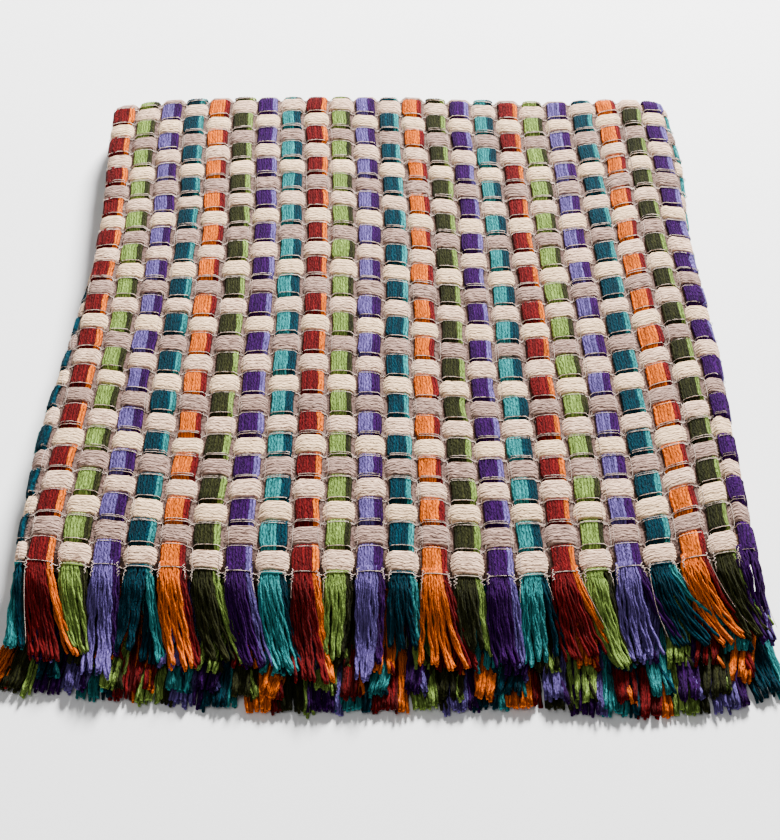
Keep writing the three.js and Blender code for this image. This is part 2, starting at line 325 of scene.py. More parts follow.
def make_piece(name, parts, material):
    """One mesh of many closed tubes, with a colour and a yarn's UV place on every face corner."""
    points, corners, sizes, places, tints, start = [], [], [], [], [], 0
    for part in parts:
        for faces, uv, tint in part["faces"]:
            corners.append((faces + start).ravel())
            sizes.append(np.full(len(faces), faces.shape[1]))
            places.append(uv.reshape(-1, 2))
            tints.append(np.repeat(tint, faces.shape[1], axis=0))
        points.append(np.maximum(part["points"], (-np.inf, -np.inf, 0)))  # nothing is in the floor
        start += len(part["points"])
    points, corners, sizes = map(np.concatenate, (points, corners, sizes))
    places, tints = np.concatenate(places), np.concatenate(tints)
    mesh = bpy.data.meshes.new(name)
    mesh.vertices.add(len(points))
    mesh.vertices.foreach_set("co", points.astype(np.float32).ravel())
    mesh.loops.add(len(corners))
    mesh.polygons.add(len(sizes))
    starts = np.concatenate([[0], np.cumsum(sizes)[:-1]])
    mesh.polygons.foreach_set("loop_start", starts.astype(np.int32))
    mesh.polygons.foreach_set("vertices", corners.astype(np.int32))
    mesh.update(calc_edges=True)
    mesh.shade_smooth()
    layer = mesh.uv_layers.new(name="yarn_place")
    layer.uv.foreach_set("vector", places.astype(np.float32).ravel())
    attribute = mesh.attributes.new("yarn_colour", "FLOAT_COLOR", "CORNER")
    rgba = np.concatenate([tints, np.ones((len(tints), 1))], axis=1)
    attribute.data.foreach_set("color", rgba.astype(np.float32).ravel())
    mesh.materials.append(material)
    piece = bpy.data.objects.new(name, mesh)
    bpy.context.scene.collection.objects.link(piece)
    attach(piece, "root")
    return piece


@functools.cache
def tube_form(stations, sides):
    """A straight closed tube, spun up from a round end. Its side faces and its two end faces are given
    by the station and the corner of each of their points."""
    tube = bmesh.new()
    bmesh.ops.create_circle(tube, cap_ends=True, segments=sides, radius=1)
    number = tube.verts.layers.int.new("corner")
    for corner, point in enumerate(tube.verts):
        point[number] = corner
    bmesh.ops.spin(
        tube,
        geom=tube.verts[:] + tube.edges[:] + tube.faces[:],
        cent=(0, 0, 0),
        axis=(0, 0, 1),
        dvec=(0, 0, 1),
        angle=0,
        steps=stations - 1,
        use_merge=False,
    )
    bmesh.ops.recalc_face_normals(tube, faces=tube.faces)
    walls, ends = [], []
    for face in tube.faces:
        points = [(round(point.co.z), point[number]) for point in face.verts]
        near = min(station for station, _ in points)
        if len({station for station, _ in points}) == 2:  # a wall starts with its near side
            first = next(k for k in range(4) if points[k][0] == near == points[(k + 1) % 4][0])
            walls.append(points[first:] + points[:first])
        else:  # an end starts at its first corner, and the near one runs the other way round
            first = points.index((near, sides - 1 if near == 0 else 0))
            ends.append(points[first:] + points[:first])
    tube.free()
    return np.array(sorted(walls)), np.array(sorted(ends))


def skin(rings, turned, yarn_at, lengths, tints):
    """Faces of closed tubes. rings is their points as (tube, station, corner, xyz), turned is true
    where the corners run the other way round, yarn_at is the yarn place of each corner and of the
    seam, and tints a colour for each tube and side."""
    count, stations, sides, _ = rings.shape
    walls, ends = tube_form(stations, sides)
    starts = (np.arange(count) * stations * sides)[:, None, None]
    quads = starts + walls[..., 0] * sides + walls[..., 1]
    side = walls[:, 0, 1]
    u = np.stack([yarn_at[..., side + step] for step in (0, 1, 1, 0)], -1)
    v = lengths[:, walls[..., 0]] / PITCH
    uv = np.stack([np.broadcast_to(u, v.shape), v], -1)
    caps = (starts + ends[..., 0] * sides + ends[..., 1]).swapaxes(0, 1)  # all the near ends first
    if turned:
        quads, uv, caps = quads[..., ::-1], uv[..., ::-1, :], caps[..., ::-1]
    tint = tints[:, side]
    caps = caps.reshape(-1, sides)
    faces = [
        (quads.reshape(-1, 4), uv.reshape(-1, 4, 2), tint.reshape(-1, 3)),
        (caps, np.full((len(caps), sides, 2), 0.5), np.tile(tints[:, 0], (len(ends), 1))),
    ]
    return {"points": rings.reshape(-1, 3), "faces": faces}


def bundle_ring(yarns, under, roundness):
    """The section of a bundle one wide and one thick, ridged by its yarns on the outer face."""
    across = np.linspace(-1, 1, 2 * yarns + 1)
    out = (1 - np.abs(across) ** roundness) ** 0.5
    ridge = np.where(np.arange(len(across)) % 2 == 1, 1.0, -1.0)
    ridge[[0, -1]] = 0
    below = np.linspace(1, -1, under + 2)[1:-1]
    place = np.concatenate([np.arange(2 * yarns + 1) / 2, yarns + np.arange(1, under + 2)])
    return (
        np.concatenate([across, below]) / 2,
        np.concatenate([out, -((1 - np.abs(below) ** roundness) ** 0.5)]) / 2,
        np.concatenate([ridge, np.zeros(under)]),
        place,
    )


def cell_stations(cells, steps_of):
    """Places along a bundle, in cells from its start: each cell's number and the place in it."""
    numbers, places = [], []
    for cell in cells:
        steps = steps_of(cell)
        numbers += [cell] * len(steps)
        places += steps
    return np.array(numbers), np.array(places)


BUNDLE_STRIDE = 16  # keeps the fibres of two bundles apart
RAISED_STEPS = [-0.5, -0.44, -0.37, -0.27, -0.12, 0.12, 0.27, 0.37, 0.44]
DIVING_STEPS = [-0.5, -0.4, 0.0, 0.4]
LOW_STEPS = [-0.5, -0.2, 0.2]
HIDDEN_STEPS, FIRST_STEPS = [0.0], [-0.5, 0.0]


def on_panel(column, row):
    """Whether a column shows on the outside of the stack at a row."""
    first = FIRST_COLUMN - 1 if row <= LAST_FINE_ROW else FIRST_LOWER_COLUMN
    return first <= column <= LAST_COLUMN


def slow_wave(at, size, length):
    """A soft wandering line with a chance start."""
    a, b = chance.uniform(0, 2 * math.pi, 2)
    return size * (np.sin(at / length + a) + 0.6 * np.sin(2.3 * at / length + b))


def rough_lines(stations, corners, size):
    """Small wandering of a bundle's yarns."""
    knots = max(3, stations // 2)
    rough = chance.normal(0, size, (knots, corners + 1))
    rough = (rough[:, 1:] + rough[:, :-1]) * 0.7
    at = np.linspace(0, knots - 1, stations)
    return np.stack([np.interp(at, np.arange(knots), line) for line in rough.T], axis=1)


CELL_SIZE = chance.normal(1, 0.055, (2, COLUMNS + 2, ROWS + 2)).clip(0.86, 1.12)
CELL_RISE = chance.normal(0, 0.3 * MM, (2, COLUMNS + 2, ROWS + 2))
CELL_SHIFT = chance.normal(0, 0.5 * MM, (2, COLUMNS + 2, ROWS + 2))
CELL_TURN = chance.normal(0, 0.5 * MM, (2, COLUMNS + 2, ROWS + 2)).clip(-1.1 * MM, 1.1 * MM)


def from_raised(place, raised):
    """How far a place in a cell is from the middle of the nearest raised cell, in cells."""
    return np.where(raised, np.abs(place), 1 - np.abs(place))


def path_height(kind, away):
    """1 over a raised cell's middle, -1 where the bundle is at its lowest."""
    return 1 - 2 * ramp(away, RAISED[kind] - DIVES[kind], RAISED[kind] + DIVES[kind])


def bundle(kind, column, row, place, ring):
    """A bundle's points on the flat cloth: kind 0 is warp, which runs along v, and kind 1 weft."""
    across, out, ridge, _ = ring
    up = (column + row) % 2 == kind
    away = from_raised(place, up)
    if kind == 0:  # a raised bundle goes on into its tassel without a dip
        away = np.where(up & (row == 1) & (place < 0), np.minimum(away, 0.3), away)
    at = ((row if kind == 0 else column) + place - 0.5) * PITCH
    lower = ramp((row - 0.5) * PITCH, HALF_LENGTH, HALF_LENGTH + OUTER_ARC)
    rise = TOP_RISE + (LOW_RISE - TOP_RISE) * lower
    thick = TOP_THICKNESS[kind] + (LOW_THICKNESS - TOP_THICKNESS[kind]) * lower
    middle = 1 - np.abs(2 * place) ** 4
    lift = path_height(kind, away) * rise + CELL_RISE[kind, column, row] * middle * (1 - lower)
    tilt = np.arctan(np.gradient(lift, at)) * LEAN
    wide = WIDTHS[kind] * (1 + (CELL_SIZE[kind, column, row] - 1) * middle)
    wide = wide * (1 - TAPERS[kind] * ramp(away, 0.25, 0.65))
    wander = rough_lines(len(place), len(across), WANDERS[kind]) * (ridge != 0)
    shift = (CELL_SHIFT[kind, column, row] + CELL_TURN[kind, column, row] * 2 * place) * middle
    sideways = wide[:, None] * across + shift[:, None] + wander
    raise_it = thick[:, None] * out + ridge * RIDGES[kind] * (1 - 0.5 * lower[:, None])
    raise_it = raise_it + 0.4 * wander * (1 - lower[:, None])
    q = lift[:, None] + raise_it * np.cos(tilt)[:, None]
    forward = at[:, None] - raise_it * np.sin(tilt)[:, None]
    return sideways, forward, q


def yarn_tints(main, second, yarns, seconds, spread):
    """A colour for each yarn of a bundle: the main one, then the second one in the last yarns."""
    picks = np.array([main] * (yarns - seconds) + [second] * seconds)
    return picks * chance.normal(1, spread, (yarns, 1)).clip(0.6, 1.4)


def ring_tints(yarn_colours, under):
    top = np.repeat(yarn_colours, 2, axis=0)
    below = yarn_colours[np.linspace(len(yarn_colours) - 1, 0, under + 1).round().astype(int)]
    return np.concatenate([top, below])


def warp_column(column):
    """One coloured bundle from fringe to fringe."""
    shown = on_panel(column, ROWS)
    yarns, under = (WARP_YARNS, POINTS_UNDER) if shown else (4, 1)
    ring = bundle_ring(yarns, under, ROUNDNESS[0])

    def steps(row):
        if not on_panel(column, row):
            return HIDDEN_STEPS if row > 1 else FIRST_STEPS
        if row > LAST_FINE_ROW:
            return LOW_STEPS
        return RAISED_STEPS if (column + row) % 2 == 0 else DIVING_STEPS

    row, place = cell_stations(range(1, ROWS + 1), steps)
    row, place = np.append(row, ROWS), np.append(place, 0.5)
    columns = np.full(len(row), column)
    sideways, forward, q = bundle(0, columns, row, place, ring)
    s = (column - 0.5) * PITCH + sideways + slow_wave(forward, 0.3 * MM, 0.09)
    rings = laid(s.ravel(), forward.ravel(), q.ravel()).reshape(1, *s.shape, 3)
    main, second, seconds = column_colours(column)
    seconds = seconds if shown else 1
    tints = ring_tints(yarn_tints(main, second, yarns, seconds, TONE_SPREADS[0]), under)
    yarn_at = ring[3] + BUNDLE_STRIDE * column
    lengths = ((row + place - 0.5) * PITCH)[None]
    return skin(rings, False, yarn_at, lengths, tints[None])


def weft_row(row, shade):
    """One natural bundle from side to side."""
    ring = bundle_ring(WEFT_YARNS, POINTS_UNDER, ROUNDNESS[1])

    def steps(column):
        if not on_panel(column, row):
            return HIDDEN_STEPS if column > 1 else FIRST_STEPS
        if row > LAST_FINE_ROW:
            return LOW_STEPS
        return RAISED_STEPS if (column + row) % 2 == 1 else DIVING_STEPS

    column, place = cell_stations(range(1, COLUMNS + 1), steps)
    column, place = np.append(column, COLUMNS), np.append(place, 0.5)
    rows = np.full(len(column), row)
    sideways, forward, q = bundle(1, column, rows, place, ring)
    v = (row - 0.5) * PITCH + sideways
    rings = laid(forward.ravel(), v.ravel(), q.ravel()).reshape(1, *v.shape, 3)
    tints = ring_tints(yarn_tints(shade, shade, WEFT_YARNS, 1, TONE_SPREADS[1]), POINTS_UNDER)
    yarn_at = ring[3] + BUNDLE_STRIDE * row
    lengths = ((column + place - 0.5) * PITCH)[None]
    return skin(rings, True, yarn_at, lengths, tints[None])


PLIES = 3  # how many plies are twisted into a loose yarn
TASSEL_STRIDE, YARN_STRIDE = 80, 3.37  # keep the fibres of two tassels, and of two yarns, apart
NEARLY_UP = [0.0, 0.02, 1.0]


def tubes(paths, radius, sides, tints, first_yarn):
    """Round tubes along lines of points, given as (tube, point, xyz), the seam underneath."""
    ahead = np.gradient(paths, axis=1)
    ahead /= np.linalg.norm(ahead, axis=2, keepdims=True) + 1e-12
    side = np.cross(ahead, NEARLY_UP)
    side /= np.linalg.norm(side, axis=2, keepdims=True) + 1e-12
    up = np.cross(side, ahead)
    turn = (np.arange(sides) + 0.5) / sides * 2 * math.pi - math.pi / 2
    round_it = np.cos(turn)[:, None] * side[:, :, None] + np.sin(turn)[:, None] * up[:, :, None]
    rings = paths[:, :, None] + radius[..., None, None] * round_it
    steps = np.linalg.norm(np.diff(paths, axis=1), axis=2)
    lengths = np.concatenate([np.zeros((len(paths), 1)), np.cumsum(steps, axis=1)], axis=1)
    yarn_at = first_yarn + YARN_STRIDE * np.arange(len(paths))[:, None]
    yarn_at = yarn_at + np.arange(sides + 1) / sides * PLIES
    tint = np.repeat(tints[:, None], sides, axis=1)
    return skin(rings, True, yarn_at, lengths, tint)


THREAD_RADIUS = 0.36 * MM
THREAD_SIDES = 3
THREAD_CLEARANCE = 1.6 * THREAD_RADIUS  # from a bundle to the middle of a thread that lies over it
SINK = (1.4 * MM, 1.0 * MM)  # a thread's height beside a bundle, and how far it drops from there
# How far in from a raised cell's end the threads lie, where there is one and where there are two
CROSS_NUDGES = ([0.3 * MM], [0.1 * MM, 1.9 * MM])
LENGTHWISE_NUDGES = ([2.3 * MM], [1.8 * MM, 3.4 * MM])
ONE_THREAD_SHARE = 0.6  # of the gaps between two rows
SIDE_FOLD_LIFT = 0.7 * MM
LOW_SHARE = 0.75  # how high threads lie underneath, against those on top
THREAD_STEPS = [-0.44, -0.3, 0.0, 0.3, 0.44, 0.5]
LOW_THREAD_STEPS = [-0.3, 0.3, 0.5]


def thread_height(kind, nudge, place):
    """Height of a thread that lies across a raised cell of one kind, nudge in from its end."""
    away = 0.5 - nudge / PITCH
    share = np.abs(place) * PITCH * 2 / WIDTHS[kind]
    round_off = (1 - np.minimum(share, 1) ** ROUNDNESS[kind]) ** 0.5
    over = path_height(kind, away) * TOP_RISE + TOP_THICKNESS[kind] / 2 * round_off + THREAD_CLEARANCE
    return np.where(share < 1, over, SINK[0] - SINK[1] * ramp(np.abs(place), 0.44, 0.5))


def crossing_thread(kind, gap, first, last, steps, nudge):
    """Places of a thread that lies over the ends of raised cells of one kind, along a gap."""
    cell, place = cell_stations(range(first, last + 1), lambda _: steps)
    side = np.where((cell + gap) % 2 == kind, -1, 1)
    lean = side * nudge * (1 - ramp(np.abs(place), 0.4, 0.56))
    return (cell + place - 0.5) * PITCH, gap * PITCH + lean, thread_height(kind, nudge, place)


def cross_threads():
    """Thin threads beside the weft, over both ends of every raised coloured cell."""
    parts = []
    for gap in range(ROWS + 1):
        low = gap > LAST_FINE_ROW
        steps = LOW_THREAD_STEPS if low else THREAD_STEPS
        one = low or gap == 0 or chance.random() < ONE_THREAD_SHARE
        for nudge in CROSS_NUDGES[0 if one else 1]:
            s, v, q = crossing_thread(0, gap, FIRST_LOWER_COLUMN, LAST_COLUMN, steps, nudge)
            v = v + slow_wave(s, 0.4 * MM, 0.025)
            moved = drifted(s, v)[0]
            inside = (moved > PANEL_START - SIDE_ARC) & (moved < PANEL_END + SIDE_ARC)
            beyond = np.maximum(PANEL_START - moved, moved - PANEL_END)
            q = q + SIDE_FOLD_LIFT * ramp(beyond, -4 * MM, 3 * MM)
            path = laid(s[inside], v[inside], q[inside] * (LOW_SHARE if low else 1))[None]
            radius = np.full(path.shape[:2], THREAD_RADIUS)
            tint = THREAD[None] * chance.uniform(0.8, 1.05)
            parts.append(tubes(path, radius, THREAD_SIDES, tint, gap))
    return parts


def lengthwise_threads():
    """Thin threads between the columns, over both ends of every raised weft cell."""
    parts = []
    for gap in range(FIRST_COLUMN - 1, LAST_COLUMN):
        for start, end, steps in (
            (1, LAST_FINE_ROW, THREAD_STEPS),
            (LAST_FINE_ROW + 1, ROWS, LOW_THREAD_STEPS),
        ):
            two = start == 1 and gap % 3 == 0
            for nudge in LENGTHWISE_NUDGES[1 if two else 0]:
                v, s, q = crossing_thread(1, gap, start, end, steps, nudge)
                s = s + slow_wave(v, 0.4 * MM, 0.025)
                path = laid(s, v, q * (1 if start == 1 else LOW_SHARE))[None]
                radius = np.full(path.shape[:2], THREAD_RADIUS * 0.9)
                tint = THREAD[None] * chance.uniform(0.7, 1.0)
                parts.append(tubes(path, radius, THREAD_SIDES, tint, gap))
    return parts


# The fringe of the upper front edge: for each column of the panel, where the tips of its main and
# of its second yarns end, from and to across, and how far ahead of the cloth, in millimetres
UPPER_TASSELS = {
    0: ((-6, 6, 66), (2, 8, 68)),
    1: ((-2, 22, 76), (26, 36, 70)),
    2: ((4, 19, 67), (8, 20, 64)),
    3: ((-13, 10, 88), (4, 14, 68)),
    4: ((-17, -3, 67), (10, 25, 74)),
    5: ((2, 22, 79), (18, 26, 77)),
    6: ((4, 22, 70), (26, 38, 71)),
    7: ((5, 21, 73), (19, 27, 72)),
    8: ((3, 20, 77), (18, 26, 76)),
    9: ((-5, 18, 87), (16, 24, 86)),
    10: ((-11, 3, 66), (-2, 6, 64)),
    11: ((-10, 1, 86), (-2, 8, 74)),
    12: ((-11, 9, 58), (8, 16, 57)),
    13: ((-13, 22, 72), (22, 32, 72)),
    14: ((-6, 8, 56), (10, 18, 58)),
    15: ((-8, 12, 70), (10, 18, 69)),
    16: ((-9, 6, 67), (18, 29, 63)),
    17: ((-4, 28, 66), (26, 38, 58)),
    18: ((10, 22, 78), (18, 27, 76)),
    19: ((-6, 16, 71), (26, 40, 58)),
    20: ((4, 38, 66), (38, 48, 55)),
    21: ((18, 34, 70), (32, 42, 65)),
    22: ((12, 26, 72), (24, 32, 66)),
    23: ((3, 11, 76), (8, 15, 72)),
    24: ((-4, 6, 70), (2, 10, 68)),
}
# How far right the tips of the lower front edge lean, in millimetres, at some of its columns
LOWER_SWEEPS = {0: -10, 2: -6, 3: 4, 6: -4, 9: 6, 11: -2, 13: 3, 16: -3, 17: 4, 19: -4, 21: 2, 23: 14}
YARN_RADIUS = 1.15 * MM
YARN_SIDES = 5
FRINGE_TONES_AND_SHADE = ((1, 0.16), (0.84, 0.24))  # middle and spread of the yarns' tone, upper and lower; the lower fringe's darker middle is painted shade, and its wider spread is partly painted shade
ROOT = 6 * MM  # how far inside the cloth a tassel's yarns start
SECOND_FROM = 0.24  # where the yarns of the second colour start, across a tassel
SECOND_SHARE = 0.28  # how much of a tassel's width they have
TASSEL_FULLNESS = 0.16  # how far a tassel swells to the sides, as a share of its width
TASSEL_HUMP = 3.6 * MM
YARN_WAVE = 0.5 * MM
YARN_WAVE_LENGTHS = (16 * MM, 30 * MM)
SQUIGGLE = (0.4 * MM, 0.15 * MM)  # sideways and up, in the finest tassels alone
FINE_POINTS = 20
CLUMPED_COLUMNS = 10.5  # how far from the middle the tips are drawn together


def tassel_rows(upper, lower):
    """Places of a tassel's yarns across it, in -0.5 to 0.5, and out of it, in an upper and a lower
    row that follow the round of the bundle they leave."""
    across = np.concatenate([(np.arange(yarns) + 0.5) / yarns - 0.5 for yarns in (upper, lower)])
    half = TOP_THICKNESS[0] / 2 * (1 - np.abs(2 * across) ** ROUNDNESS[0]) ** 0.5
    above = np.arange(upper + lower) < upper
    return across, np.where(above, 1, -1) * (half - YARN_RADIUS + 0.4 * MM), above


def clumped(tip, share, strength):
    """How far tips are drawn together in clumps of a few neighbours, and a chance number for each."""
    clump = np.floor(share * chance.integers(3, 5) + chance.uniform(0, 0.9)).astype(int)
    pull = np.zeros(len(tip))
    for number in np.unique(clump):
        here = clump == number
        pull[here] = (tip[here].mean() - tip[here]) * chance.uniform(0.5, 1) * strength
    return pull[:, None], chance.uniform(0, 2 * math.pi, clump.max() + 1)[clump][:, None]


def squiggles(count, ahead):
    """The waves that the weave has left in loose yarns, strongest near the cloth."""
    rough = chance.normal(0, 1, (count, ahead.shape[1] + 2))
    rough = rough[:, 1:-1] * 0.6 + (rough[:, :-2] + rough[:, 2:]) * 0.25
    return rough * (1.6 - ramp(ahead, 6 * MM, 20 * MM)) * ramp(ahead, -2 * MM, 2 * MM)


SWEEP_POWER = 1.6  # over 1: a loose end starts straight and sweeps sideways towards its tip


def fall(x, z, tip_x, ahead, length, rest, drop):
    """Lines of points of loose ends that leave the cloth at x and z and come to rest at a height."""
    part = np.clip(ahead / length, 0, 1)
    line_x = x + (tip_x - x) * part**SWEEP_POWER
    line_z = rest + (z - rest) * (1 - ramp(ahead, -4 * MM, drop))
    return line_x, line_z, part


def tassel(s, end, raised, shape):
    """The loose warp ends of one column: their lines of points, and which are the second colour."""
    rest, drop, radius, points = shape["rest"], shape["drop"], shape["radius"], shape["points"]
    across, out, above = tassel_rows(*shape["yarns"])
    count = len(across)
    v = np.zeros(count) if end == 0 else np.full(count, LENGTH)
    s = s + across * WIDTHS[0]
    x, height = fold_sides(s, out + (TOP_RISE * 0.85 if raised else 0))
    y, z = fold_ends(along_strip(v), height)
    layer = fold_ends(along_strip(v), fold_sides(s, 0)[1])[1]
    share = (x - x.min()) / (x.max() - x.min())
    second = across > SECOND_FROM
    if across[np.argmax(x)] < 0:
        share_main = np.clip((share - SECOND_SHARE) / (1 - SECOND_SHARE), 0, 1)
        share_second = np.clip(share / SECOND_SHARE, 0, 1)
    else:
        share_main = np.clip(share / (1 - SECOND_SHARE), 0, 1)
        share_second = np.clip((share - 1 + SECOND_SHARE) / SECOND_SHARE, 0, 1)
    main_tip, second_tip = shape["tips"]
    main_x = main_tip[0] + (main_tip[1] - main_tip[0]) * share_main
    second_x = second_tip[0] + (second_tip[1] - second_tip[0]) * share_second
    tip_x = x.mean() + np.where(second, second_x, main_x) * MM + chance.normal(0, 0.8 * MM, count)
    pull, clump = clumped(tip_x, share, shape["clumps"])
    length = np.where(second, second_tip[2], main_tip[2]) * MM
    length = length + chance.normal(-1 * MM, 1.6 * MM, count)
    length = length[:, None] + shape["clumps"] * 3 * MM * np.sin(3 * clump)
    ahead = -ROOT + np.linspace(0, 1, points) * (length + ROOT)
    resting = rest + radius + np.where(above, 2 * radius, 0)[:, None]
    ends = [a[:, None] for a in (x, z, tip_x)]
    line_x, line_z, part = fall(*ends, ahead, length, resting, drop)
    phase = chance.uniform(0, 2 * math.pi, (count, 1))
    turn = 2 * math.pi * ahead / chance.uniform(*YARN_WAVE_LENGTHS, (count, 1)) + phase
    swelling = (x - x.mean())[:, None] * TASSEL_FULLNESS * np.sin(np.pi * part**0.7)
    line_x = line_x + swelling + pull * part**3
    line_x = line_x + 2.2 * MM * shape["clumps"] * np.sin(part * 4 + clump) * part**2
    line_x = line_x + YARN_WAVE * np.sin(turn) * ramp(ahead, 0, 20 * MM)
    hump = (1 - (2 * share - 1) ** 2)[:, None] * TASSEL_HUMP * ramp(ahead, 0, 20 * MM)
    line_z = line_z + hump * (1 - 0.5 * part)
    line_z = line_z + YARN_WAVE * np.cos(turn) * ramp(ahead, 2 * MM, 20 * MM)
    line_z = line_z + (1.2 * MM * np.sin(2 * clump) + chance.normal(0, 0.6 * MM, (count, 1))) * part
    if points > FINE_POINTS:
        line_x = line_x + SQUIGGLE[0] * squiggles(count, ahead)
        line_z = line_z + SQUIGGLE[1] * squiggles(count, ahead)
    line_z = np.maximum(line_z, radius)
    layers = np.repeat(layer[:, None], points, axis=1)
    flat = [a.ravel() for a in (line_x, y[:, None] - ahead, line_z, layers)]
    return settle(*flat).reshape(count, points, 3), second


def plain_tips(sweep, wander, shortest, longest, spread):
    """Tips of a tassel that isn't in the table."""
    lean = sweep + chance.normal(0, wander)
    length = chance.uniform(shortest, longest)
    inner = lean + spread * 0.4
    return (lean - spread, inner, length), (inner, lean + spread, length + chance.normal(0, 1.5))


def tassel_shape(s, end):
    """What the tassel at a place s is like: its height at rest, how soon it falls, its yarns and
    the points of each, how clumped its tips are and where they end."""
    panel = panel_column(s)
    on_top = PANEL_START - SIDE_ARC < s < PANEL_END + SIDE_ARC
    shape = {"rest": 4.6 * MM, "drop": 32 * MM, "radius": 1.35 * MM, "yarns": (13, 7), "points": 13}
    shape.update(clumps=0.5, tips=plain_tips(0, 3.5, 82, 92, 12))
    if end == 0 and on_top:
        shape.update(rest=15 * MM, drop=70 * MM, radius=YARN_RADIUS, yarns=(13, 7), points=34)
        shape.update(clumps=0.7 if abs(panel - PANEL_COLUMNS / 2) < CLUMPED_COLUMNS else 0.25)
        shape.update(tips=UPPER_TASSELS[min(max(round(panel), 0), PANEL_COLUMNS)])
    elif end == 0:
        shape.update(rest=9 * MM, drop=46 * MM, yarns=(9, 4), points=12)
        shape.update(tips=plain_tips(0, 3.5, 66, 76, 13))
    elif on_top:
        sweep = between(list(LOWER_SWEEPS), list(LOWER_SWEEPS.values()), np.array([panel]))
        shape.update(rest=0.0, drop=15 * MM, yarns=(12, 10), clumps=0.2)
        shape.update(tips=plain_tips(float(sweep[0]), 1.5, 91, 96, 13))
    return shape


def fringe_parts(end, family):
    """All the tassels of one colour family along one end of the cloth."""
    parts = []
    for column in family_columns(family):
        edge = np.array([0.0 if end == 0 else LENGTH])
        s = float(drifted(np.array([(column - 0.5) * PITCH]), edge)[0][0])
        shape = tassel_shape(s, end)
        raised = (column + (1 if end == 0 else ROWS)) % 2 == 0
        paths, second = tassel(s, end, raised, shape)
        main, other, _ = column_colours(column)
        tints = np.where(second[:, None], other, main)
        # chance tone of each yarn; on the lower fringe it is also darkened and spread wider as painted
        # shade
        tints = tints * chance.normal(*FRINGE_TONES_AND_SHADE[end], (len(tints), 1)).clip(0.45, 1.5)
        radius = shape["radius"] * (1 + 0.14 * np.linspace(0, 1, shape["points"]) ** 0.5)
        radius = np.tile(radius, (len(paths), 1))
        radius[:, -1] *= 0.8
        parts.append(tubes(paths, radius, YARN_SIDES, tints, TASSEL_STRIDE * column))
    return parts


LOOSE_ROOT = 9.6 * MM  # from a column's middle
LOOSE_LENGTHS = [9, 12, 16, 24]  # in millimetres; a last kind is nearly as long as its tassel
LOOSE_ODDS = [0.3, 0.22, 0.22, 0.16, 0.1]
LOOP_LENGTHS = (2.4, 4.4)  # of the weave's loops, in millimetres


def loose_threads():
    """Thin pale threads along the sides of the upper tassels, with the weave's loops near the cloth."""
    parts = []
    ahead = np.concatenate([np.linspace(-3, 12, 21), np.linspace(15, 100, 13)])
    for column in range(FIRST_COLUMN, LAST_COLUMN + 1):
        main_tip, second_tip = UPPER_TASSELS[column - FIRST_COLUMN + 1]
        for side, tip in ((-1, main_tip), (1, second_tip)):
            longest = chance.choice([*LOOSE_LENGTHS, 0.9 * tip[2]], p=LOOSE_ODDS)
            here = ahead[ahead < longest] * MM
            middle = drifted(np.full(1, (column - 0.5) * PITCH), np.zeros(1))[0]
            s = middle + side * LOOSE_ROOT + np.zeros(len(here))
            x, height = fold_sides(s, (3.4 + 2 * (column % 2)) * MM)
            z = fold_ends(np.zeros(len(here)), height)[1]
            tip_x = fold_sides(middle, 0)[0] + (tip[0 if side < 0 else 1] + side) * MM
            layer = np.full(len(here), STACK_HEIGHT - CLOTH_THICKNESS / 2)
            line_x, line_z, part = fall(x, z, tip_x, here, tip[2] * MM, 20 * MM, 70 * MM)
            loop = chance.uniform(*LOOP_LENGTHS) * MM
            loops = np.sin(2 * math.pi * here / loop + chance.uniform(0, 6))
            loops = loops * chance.uniform(0, 1.5, len(here)) * (1 - ramp(here, 7 * MM, 13 * MM))
            line_x = line_x + side * MM * (1.2 * loops + 1.5 * np.sin(np.pi * part**0.7))
            line_x = line_x + slow_wave(here, 0.5 * MM, 0.012) * part
            line_z = line_z + 1.5 * MM * ramp(here, -3 * MM, 8 * MM)
            path = settle(line_x, -here, line_z, layer)[None]
            radius = np.full(path.shape[:2], THREAD_RADIUS * 0.85)
            # painted light: these threads are made paler than the same thread elsewhere, against the
            # shade between the tassels
            parts.append(tubes(path, radius, THREAD_SIDES, THREAD[None] * 1.15, column))
    return parts


GROUND_HALF = 0.4 * MM  # half the thickness of the ground sheet


def spread(ends, steps):
    """Places from end to end, with a number of even steps in each stretch."""
    parts = [np.linspace(a, b, count + 1)[:-1] for a, b, count in zip(ends, ends[1:], steps)]
    return np.append(np.concatenate(parts), ends[-1])


def ground_sheet(material):
    """The thin sheet of the cloth, under its bundles."""
    side_folds = [PANEL_START - SIDE_ARC, PANEL_START, PANEL_END, PANEL_END + SIDE_ARC]
    s = spread([0, *side_folds, WIDTH], [11, 8, 23, 8, 11])
    v = spread([0, HALF_LENGTH, HALF_LENGTH + OUTER_ARC, LENGTH], [25, 12, 23])
    ring_s = np.concatenate([s, s[::-1]])
    ring_q = np.concatenate([np.full(len(s), GROUND_HALF), np.full(len(s), -GROUND_HALF)])
    grid_s = np.broadcast_to(ring_s, (len(v), len(ring_s)))
    grid_q = np.broadcast_to(ring_q, grid_s.shape)
    grid_v = np.broadcast_to(v[:, None], grid_s.shape)
    rings = laid(grid_s.ravel(), grid_v.ravel(), grid_q.ravel()).reshape(1, *grid_s.shape, 3)
    yarn_at = np.concatenate([ring_s, ring_s[:1]]) / PITCH * 5
    tints = np.repeat(GROUND[None, None], len(ring_s), axis=1)
    part = skin(rings, False, yarn_at, v[None], tints)
    piece = make_piece("cloth_ground", [part], material)
    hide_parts("throw_cloth")
    return piece


def link(tree, *pairs):
    for source, target in pairs:
        tree.links.new(source, target)


def math_node(tree, operation, first, second=None):
    """A maths node; numbers are set and sockets are linked."""
    node = tree.nodes.new("ShaderNodeMath")
    node.operation = operation
    for socket, value in zip(node.inputs, (first, second)):
        if isinstance(value, (int, float)):
            socket.default_value = value
        elif value is not None:
            tree.links.new(value, socket)
    return node.outputs[0]


